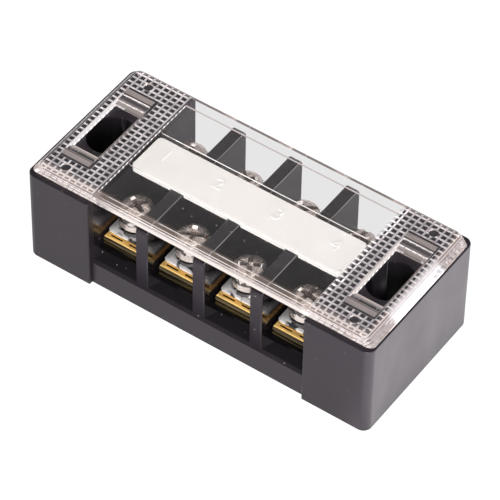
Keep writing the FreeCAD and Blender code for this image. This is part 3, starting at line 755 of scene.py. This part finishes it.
def clear_plastic():
    """Clear moulding that bends what is seen through it and lets lamplight straight in.

    Painted light: the sheet glows where light running inside it would come out at its edges:
    on the sides of the small cells, on the walls of the windows, along the front and right end.
    """
    material, tree, shader, place = new_material("clear moulded plastic")
    grain = use_group(tree, GRAIN, place, Size=900.0)
    dust = use_group(tree, DUST, place, Size=1000.0, Amount=0.05)
    shader.inputs["Transmission Weight"].default_value = 1.0
    shader.inputs["IOR"].default_value = 1.5
    tone = blend_colour(tree, grain.outputs["Sheen"], (0.965, 0.96, 0.965), (0.985, 0.98, 0.985))
    join(tree, tone, shader.inputs["Base Color"])
    join(tree, span(tree, grain.outputs["Sheen"], 0.3, 0.8, 0.0, 0.05), shader.inputs["Roughness"])
    set_bump(tree, shader, grain.outputs["Height"], 0.05)

    x, y, z = axes(tree, place)
    nx, ny, nz = facing(tree)
    far_x, far_y = size_of(tree, x), size_of(tree, y)
    streak = noise(tree, place, 1500.0, stretch=(0.12, 1.0, 1.0))
    upper = span(tree, z, 0.0216, 0.0217)
    upward = span(tree, nz, 0.3, 0.5)

    # painted light: the sides of the cells glow, more where they face right and forward, and so does the
    # line where the cells begin
    sides = times(
        tree, band(tree, far_x, 0.0224, 0.0346), upper,
        times(tree, fall(tree, nz, 0.88, 0.96), upward),
    )
    turned = span(tree, maths(tree, "SUBTRACT", nx, ny), -0.6, 0.6, 0.4, 1.1)
    blotch = span(tree, noise(tree, place, 420.0), 0.35, 0.65)
    lattice = blend_colour(tree, blotch, (0.22, 0.2, 0.205), (0.5, 0.45, 0.46))
    glow = blend_colour(tree, times(tree, sides, turned), UNLIT, lattice)
    start = times(tree, band(tree, far_x, 0.02243, 0.02256, 0.00002), upper)
    glow = blend_colour(tree, start, glow, (0.3, 0.28, 0.285))

    # painted light: the flat margins along the front and the right-hand end glow, with the cells' lines
    # in them and a glowing crease near the right-hand end
    front = times(tree, fall(tree, y, -0.01306, -0.01298), upward)
    over_bays = band(tree, far_x, -1.0, 0.0214, 0.0003)
    margin = blend_colour(tree, over_bays, (0.145, 0.116, 0.104), (0.07, 0.052, 0.042))
    lit = times(tree, front, span(tree, streak, 0.3, 0.7, 0.88, 1.08))
    glow = blend_colour(tree, lit, glow, margin)
    right = times(tree, span(tree, x, 0.0334, 0.0335), upward)
    glow = blend_colour(tree, right, glow, (0.115, 0.088, 0.082))
    # painted highlight: a bright patch on the right-hand end, along the window
    highlight_patch = times(
        tree, right, band(tree, y, -0.0076, 0.0072, 0.0004), span(tree, streak, 0.3, 0.6, 0.7, 1.0)
    )
    glow = blend_colour(tree, highlight_patch, glow, (0.4, 0.39, 0.41))
    crease = times(tree, right, band(tree, x, 0.03462, 0.03472, 0.00004))
    glow = blend_colour(tree, crease, glow, (0.1, 0.085, 0.09))
    lines = times(tree, sides, maths(tree, "MAXIMUM", front, right))
    glow = blend_colour(tree, lines, glow, (0.55, 0.48, 0.46))

    # painted light: the floors of the windows' stepped ends glow in bands of different strength,
    # streaked
    windows = maths(
        tree, "MAXIMUM", band(tree, x, -0.03308, -0.02692), band(tree, x, 0.02637, 0.03253)
    )
    ends = times(tree, windows, band(tree, far_y, 0.0061, 0.00976))
    floors = times(tree, ends, times(tree, upward, span(tree, z, 0.0205, 0.0206)))
    step = (0.3, 0.26, 0.245)
    for low, high, tone in (
        (0.007, 0.00705, (0.13, 0.115, 0.112)),
        (0.0075, 0.0076, (0.03, 0.026, 0.027)),
        (0.0086, 0.0087, (0.28, 0.24, 0.225)),
    ):
        step = blend_colour(tree, span(tree, far_y, low, high), step, tone)
    streaked_floors = times(tree, floors, span(tree, streak, 0.3, 0.7, 0.7, 1.2))
    glow = blend_colour(tree, streaked_floors, glow, step)

    # painted highlight: the edges of the raised ribs glow, dimmer on the front rib
    ribs = times(
        tree, span(tree, z, 0.02175, 0.0218), fall(tree, far_x, 0.0218, 0.0219),
        fall(tree, nz, 0.86, 0.96),
    )
    behind = span(tree, y, -0.0134, -0.0132)
    rib_tone = blend_colour(tree, behind, (0.09, 0.072, 0.062), (0.3, 0.28, 0.27))
    glow = blend_colour(tree, ribs, glow, rib_tone)

    # painted light: the upright walls glow, least on the outer front face over the bays, and painted
    # reflections make a row of bright dots low on the windows' long sides
    wall = times(tree, fall(tree, size_of(tree, nz), 0.3, 0.5), span(tree, z, 0.0201, 0.0202))
    outer = times(tree, fall(tree, y, -0.0148, -0.0147), over_bays)
    wall_tone = blend_colour(tree, outer, (0.2, 0.17, 0.16), (0.035, 0.024, 0.014))
    glow = blend_colour(tree, wall, glow, wall_tone)
    wave = maths(tree, "SINE", times(tree, y, 2 * math.pi / (CELL_Y * MM)))
    dots = times(
        tree, wall, span(tree, wave, 0.1, 0.5), fall(tree, z, 0.0206, 0.0207), span(tree, nx, 0.8, 0.9)
    )
    glow = blend_colour(tree, dots, glow, (0.95, 0.93, 0.92))
    # the dust specks are real dust, but they are added to the glow, so they shine as painted light
    set_glow(tree, shader, blend_colour(tree, dust.outputs["Mask"], glow, (0.3, 0.28, 0.26), "ADD"))

    shadow = node(tree, "ShaderNodeLightPath").outputs["Is Shadow Ray"]
    through = node(tree, "ShaderNodeBsdfTransparent").outputs[0]
    surface = mix_shaders(tree, shadow, shader.outputs[0], through)
    join(tree, surface, tree.nodes["Material Output"].inputs["Surface"])
    return material


BLACK = black_plastic()
WHITE = white_plastic()
BRASS = brass()
CLEAR = clear_plastic()
PLATE = bright_plate()
SPRING = spring_steel()
SCREW = plated_screw()


# ---- housing ----

def make_housing():
    piece = cad_copy("housing", "black_housing")
    smooth(piece, 34, flat=faces_down)
    finish_piece(piece, BLACK, "housing", "housing")


# ---- cover ----

def make_cover():
    piece = block("clear_cover", (-COVER_X, -COVER_Y, COVER_LOW), (COVER_X, COVER_Y, COVER_TOP))

    # the ends lean in, the upright corners and the top edge are rounded
    select_faces(piece, lambda face: face.normal.z > 0.9)
    bpy.ops.transform.resize(value=((COVER_X - COVER_LEAN) / COVER_X, 1, 1))
    close_edit()
    round_edges(piece, upright, 1.2, 6)
    round_edges(piece, level_at(COVER_TOP), 0.3, 3)

    # the hollow over the bays, before the top is divided
    cut(piece, block("hollow", (-HALF_BAYS, -HOLLOW_Y, BELOW_COVER), (HALF_BAYS, HOLLOW_Y, HOLLOW_TOP)))

    # both ends of the top carry rows of small raised cells, but for a margin all round
    def on_top(face):
        return face.normal.z > 0.99 and near(face.center.z, COVER_TOP)

    def divide(place, normal, low):
        select_faces(piece, lambda face: on_top(face) and abs(face.center.x) > low)
        bpy.ops.mesh.bisect(plane_co=place, plane_no=normal)
        close_edit()

    def is_cell(face):
        x, y = face.center.x, face.center.y
        by_window = any(abs(x - middle) < WINDOW_X and abs(y) < CLEAR_OF_WINDOWS for middle in WINDOWS)
        in_field = CELLS_FROM <= abs(x) <= CELLS_TO - 0.3 and abs(y) <= COVER_Y - 0.5
        return on_top(face) and in_field and not by_window and face.area > SMALLEST_CELL

    for side in (-1, 1):
        divide((side * CELLS_FROM, 0, 0), (1, 0, 0), 0)
    for side in (-1, 1):
        for column in range(1, int((CELLS_TO - CELLS_FROM) / CELL_X) + 1):
            divide((side * (CELLS_FROM + column * CELL_X), 0, 0), (1, 0, 0), CELLS_FROM)
    rows = int(COVER_Y / CELL_Y)
    for row in range(-rows, rows + 1):
        divide((0, (row + 0.5) * CELL_Y, 0), (0, 1, 0), CELLS_FROM)
    select_faces(piece, is_cell)
    bpy.ops.mesh.inset(thickness=CELL_INSET, depth=CELL_RISE, use_individual=True)
    close_edit()

    # windows over the mounting slots, with two steps down into their short ends, and dimples
    for x in WINDOWS:
        for reach, low in WINDOW_STEPS:
            cut(piece, block("window", (x - WINDOW_X, -reach, low), (x + WINDOW_X, reach, ABOVE_COVER)))
        dimple_x = math.copysign(DIMPLE_X, x)
        for y in (-DIMPLE_Y, DIMPLE_Y):
            cut(piece, rod("dimple", dimple_x, y, DIMPLE_RADIUS, DIMPLE_LOW, ABOVE_COVER, 32))

    # raised ribs with round ends
    for y in RIBS:
        rib = block("rib", (-RIB_X, y - RIB_Y, RIB_LOW), (RIB_X, y + RIB_Y, RIB_TOP))
        round_edges(rib, upright, RIB_Y * 0.98, 6)
        round_edges(rib, level_at(RIB_TOP), 0.1, 2)
        add_on(piece, rib)

    # clip legs, with their lower outer edges cut back
    def lower_outer(a, b):
        return level_at(LEG_LOW)(a, b) and all(near(abs(end.y), LEG_FAR) for end in (a, b))

    for x in (-LEG_X, LEG_X):
        for side in (-1, 1):
            low, high = sorted((side * LEG_NEAR, side * LEG_FAR))
            leg = block("leg", (x - LEG_HALF, low, LEG_LOW), (x + LEG_HALF, high, LEG_TOP))
            round_edges(leg, lower_outer, 0.4, 1)
            add_on(piece, leg)
    clean(piece)
    smooth(piece, 25)
    finish_piece(piece, CLEAR, "cover", "cover")


# ---- marker strip ----

def raised_number(number, x, y):
    """A plain figure that stands a little above the strip."""
    put_down()
    bpy.ops.object.text_add(location=(0, 0, 0))
    text = bpy.context.object.data
    text.body = str(number)
    text.align_x = "CENTER"
    text.align_y = "CENTER"
    text.size = NUMBER_SIZE
    text.extrude = 0.09
    text.bevel_depth = 0.04
    text.bevel_resolution = 0
    text.resolution_u = 4
    bpy.ops.object.convert(target="MESH")
    piece = bpy.context.object
    piece.location = (x, y, STRIP_TOP - 0.03)
    settle(piece)
    clean(piece)
    return piece


def make_strip():
    piece = block(
        "white_marker_strip", (-STRIP_X, -STRIP_Y, STRIP_LOW), (STRIP_X, STRIP_Y, STRIP_TOP)
    )
    round_edges(piece, upright, 0.9, 5)
    round_edges(piece, level_at(STRIP_TOP), 0.16, 3)
    cut(piece, block("channel", (-30, -CHANNEL_Y, BELOW_STRIP), (30, CHANNEL_Y, CHANNEL_TOP)))
    for x in FINS:
        for side in (-1, 1):
            low, high = sorted((side * NOTCH_NEAR, side * NOTCH_FAR))
            cut(piece, block("notch", (x - NOTCH_X, low, BELOW_STRIP), (x + NOTCH_X, high, CHANNEL_TOP)))
    numbers = [raised_number(number, x, y) for number, (x, y) in enumerate(NUMBER_PLACES, start=1)]
    clean(piece)
    gather(piece, numbers)
    smooth(piece, 30)
    finish_piece(piece, WHITE, "housing", "marker_strip")


# ---- metal ----

def make_bars():
    for number in range(1, 5):
        node_name = "terminal_bar_%d" % number
        piece = cad_copy(node_name, "brass_bar_%d" % number)
        smooth(piece, 34)
        finish_piece(piece, BRASS, "housing", node_name)


def make_plate():
    """The clamp plate at the origin, with its underside at zero."""
    piece = block("clamp_plate", (-3.9, -3.4, 0), (3.9, 3.4, 0.5))
    round_edges(piece, upright, 0.7, 5)
    round_edges(piece, level_at(0), 0.12, 2)

    # the crown: a rounded rim, a slope and a flat top
    select_faces(piece, lambda face: face.normal.z > 0.9)
    for rise, size in ((0.1, 0.965), (0.08, 0.97), (0.17, 0.84), (0.05, 0.9)):
        bpy.ops.mesh.extrude_region_move(TRANSFORM_OT_translate={"value": (0, 0, rise)})
        bpy.ops.transform.resize(value=(size, size, 1))
    close_edit()
    cut(piece, rod("hole", 0, 0, 1.85, -1, 2, 40))

    # grooves underneath that grip the wire
    for y in (-2.15, 2.15):
        cut(piece, block("groove", (-5, y - 0.15, -1), (5, y + 0.15, 0.3)))
    clean(piece)
    smooth(piece, 30)
    return piece


def make_washer():
    """The split washer at the origin: bevelled square wire wound just short of one turn."""
    inner, outer, thick, edge = 1.85, 3.15, 0.85, 0.12
    steps = 58
    piece = drawn("split_washer", (
        (inner + edge, 0, 0), (outer - edge, 0, 0), (outer, 0, edge), (outer, 0, thick - edge),
        (outer - edge, 0, thick), (inner + edge, 0, thick), (inner, 0, thick - edge),
        (inner, 0, edge), (inner + edge, 0, 0),
    ))
    clean(piece)
    fit_modifier(
        piece, "SCREW", angle=math.radians(348), screw_offset=0.483, steps=steps, render_steps=steps,
        use_merge_vertices=False,
    )
    fill_ends(piece)
    smooth(piece, 30)
    return piece


def make_head():
    """A turned, slightly domed pan head with a slot and a cross; its underside is at zero."""
    piece = drawn("screw", (
        (0, 0, 3.5), (1.3, 0, 3.48), (1.95, 0, 3.43), (2.4, 0, 3.31), (2.75, 0, 3.1), (3.0, 0, 2.8),
        (3.14, 0, 2.45), (3.2, 0, 2.0), (3.2, 0, 0.16), (3.15, 0, 0.05), (3.04, 0, 0.0), (0, 0, 0.0),
    ))
    wind(piece, 64)
    cut(piece, block("slot", (-4, -0.475, 2.3), (4, 0.475, 4.2)))
    for wide, long in ((0.5, 2.15), (2.15, 0.5)):
        wing = block("wing", (-wide, -long, 1.6), (wide, long, 3.6))
        select_faces(wing, lambda face: face.normal.z < -0.9)
        bpy.ops.transform.resize(value=(0.55, 0.55, 1))
        close_edit()
        cut(piece, wing)
    clean(piece)
    fit_modifier(
        piece, "BEVEL", width=0.11, segments=2, limit_method="ANGLE", angle_limit=math.radians(40)
    )
    return piece


def make_screw():
    """The screw at the origin: its head, a thread wound down from it, and a turned tip."""
    head = make_head()
    thread = drawn("thread", ((1.38, 0, 0.3), (1.72, 0, 0.03), (1.75, 0, -0.03), (1.38, 0, -0.3)))
    wind(thread, 28, rise=-0.6, turns=15)
    fill_ends(thread)
    tip = drawn("tip", ((0, 0, -8.6), (1.37, 0, -8.6), (1.37, 0, -9.2), (1.2, 0, -9.6), (0, 0, -9.6)))
    wind(tip, 28)
    gather(head, (thread, tip))
    smooth(head, 30)
    return head


def make_clamps():
    """A plate, a washer and a screw at every terminal, each copied from the first."""
    plate, washer, screw = make_plate(), make_washer(), make_screw()
    for side, sign in SIDES:
        for number, x in enumerate(POLES, start=1):
            tail = "_%s_%d" % (side, number)
            for model, name, low, turn, material, slot, body in (
                (plate, "plate", PLATE_LOW, 0 if sign < 0 else 180, PLATE, "clamp_plate", "clamp"),
                (washer, "washer", WASHER_LOW, SPLIT_TURNS[side], SPRING, "spring_washer", "clamp"),
                (screw, "screw", HEAD_LOW, SLOT_TURNS[side][number - 1], SCREW, "screw", "screw"),
            ):
                piece = copy_of(model, name + tail + "_shown")
                piece.rotation_euler = (0, 0, math.radians(turn))
                piece.location = (x, sign * SCREW_Y, low)
                settle(piece)
                finish_piece(piece, material, body + tail, slot + tail)
    for model in (plate, washer, screw):
        bpy.data.objects.remove(model)


# ---- studio ----

def make_floor():
    """A pale floor, white as the camera and the clear cover see it, and clear from below."""
    put_down()
    bpy.ops.mesh.primitive_plane_add(size=8, location=(0, 0, -0.0001))
    floor = bpy.context.object
    floor.name = "studio_floor"
    material, tree, shader, place = new_material("pale studio floor")
    shader.inputs["Base Color"].default_value = (0.78, 0.77, 0.785, 1)
    shader.inputs["Roughness"].default_value = 0.9
    shader.inputs["Specular IOR Level"].default_value = 0.0
    brighter = span(tree, axes(tree, place)[0], 0.028, 0.042, interpolation_type="SMOOTHSTEP")
    set_glow(tree, shader, blend_colour(tree, brighter, (0.3, 0.3, 0.3), (1.6, 1.55, 1.6)))

    path = node(tree, "ShaderNodeLightPath")
    by_camera, through_clear = path.outputs["Is Camera Ray"], path.outputs["Is Transmission Ray"]
    white = node(tree, "ShaderNodeEmission")
    join(tree, span(tree, by_camera, 0.0, 1.0, 0.86, 1.1), white.inputs["Strength"])
    seen = maths(tree, "MAXIMUM", by_camera, through_clear)
    above = mix_shaders(tree, seen, shader.outputs[0], white.outputs[0])
    from_below = node(tree, "ShaderNodeNewGeometry").outputs["Backfacing"]
    clear = node(tree, "ShaderNodeBsdfTransparent").outputs[0]
    surface = mix_shaders(tree, from_below, above, clear)
    join(tree, surface, tree.nodes["Material Output"].inputs["Surface"])
    floor.data.materials.append(material)


def make_sky():
    """Soft light all round: bright near the horizon and dim overhead."""
    world = bpy.data.worlds.new("studio")
    bpy.context.scene.world = world
    world.use_nodes = True
    tree = world.node_tree
    height = axes(tree, node(tree, "ShaderNodeTexCoord").outputs["Generated"])[2]
    ramp = node(tree, "ShaderNodeValToRGB")
    join(tree, height, ramp.inputs[0])
    stops = ramp.color_ramp.elements
    stops[0].position, stops[0].color = 0.0, (1.0, 1.0, 1.0, 1)
    stops[1].position, stops[1].color = 1.0, (0.2, 0.196, 0.2, 1)
    for position, level in ((0.16, 0.95), (0.36, 0.75), (0.5, 0.46), (0.62, 0.28), (0.75, 0.21)):
        stops.new(position).color = (level, level * 0.98, level, 1)
    join(tree, ramp.outputs[0], tree.nodes["Background"].inputs["Color"])


def make_lamp(name, direction, size, power):
    """A slightly warm lamp that looks at the part from 0.7 m away."""
    put_down()
    way = Vector(direction).normalized()
    bpy.ops.object.light_add(type="AREA", location=way * 0.7)
    lamp = bpy.context.object
    lamp.name = name
    lamp.rotation_euler = way.to_track_quat("Z", "Y").to_euler()
    lamp.data.shape = "RECTANGLE"
    lamp.data.size, lamp.data.size_y = size
    lamp.data.energy = power
    lamp.data.color = (1.0, 0.985, 0.96)
    lamp.visible_camera = False


def make_camera():
    """The photograph's own view, fitted to the edges of the strip."""
    turn, rise, roll = (math.radians(angle) for angle in CAMERA_ANGLES)
    right = Vector((math.cos(turn), math.sin(turn), 0))
    back = Vector((math.sin(turn) * math.cos(rise), -math.cos(turn) * math.cos(rise), math.sin(rise)))
    up = back.cross(right)
    across = math.cos(roll) * right + math.sin(roll) * up
    upward = -math.sin(roll) * right + math.cos(roll) * up
    matrix = Matrix((across, upward, back)).transposed().to_4x4()
    matrix.translation = Vector(CAMERA_PLACE) * MM
    put_down()
    bpy.ops.object.camera_add()
    camera = bpy.context.object
    camera.matrix_world = matrix
    camera.data.sensor_width = 36
    camera.data.lens = CAMERA_LENS
    camera.data.shift_x, camera.data.shift_y = CAMERA_SHIFT
    camera.data.clip_start = 0.05
    camera.data.clip_end = 20
    bpy.context.scene.camera = camera


make_housing()
make_cover()
make_strip()
make_bars()
make_clamps()
make_floor()
make_sky()
make_lamp("key_lamp", (0.55, -0.4, 0.74), (0.34, 0.34), 1.4)
make_lamp("front_lamp", (0.5, -0.85, 0.4), (0.3, 0.2), 4.4)
make_camera()
bpy.context.scene.view_settings.view_transform = "Standard"
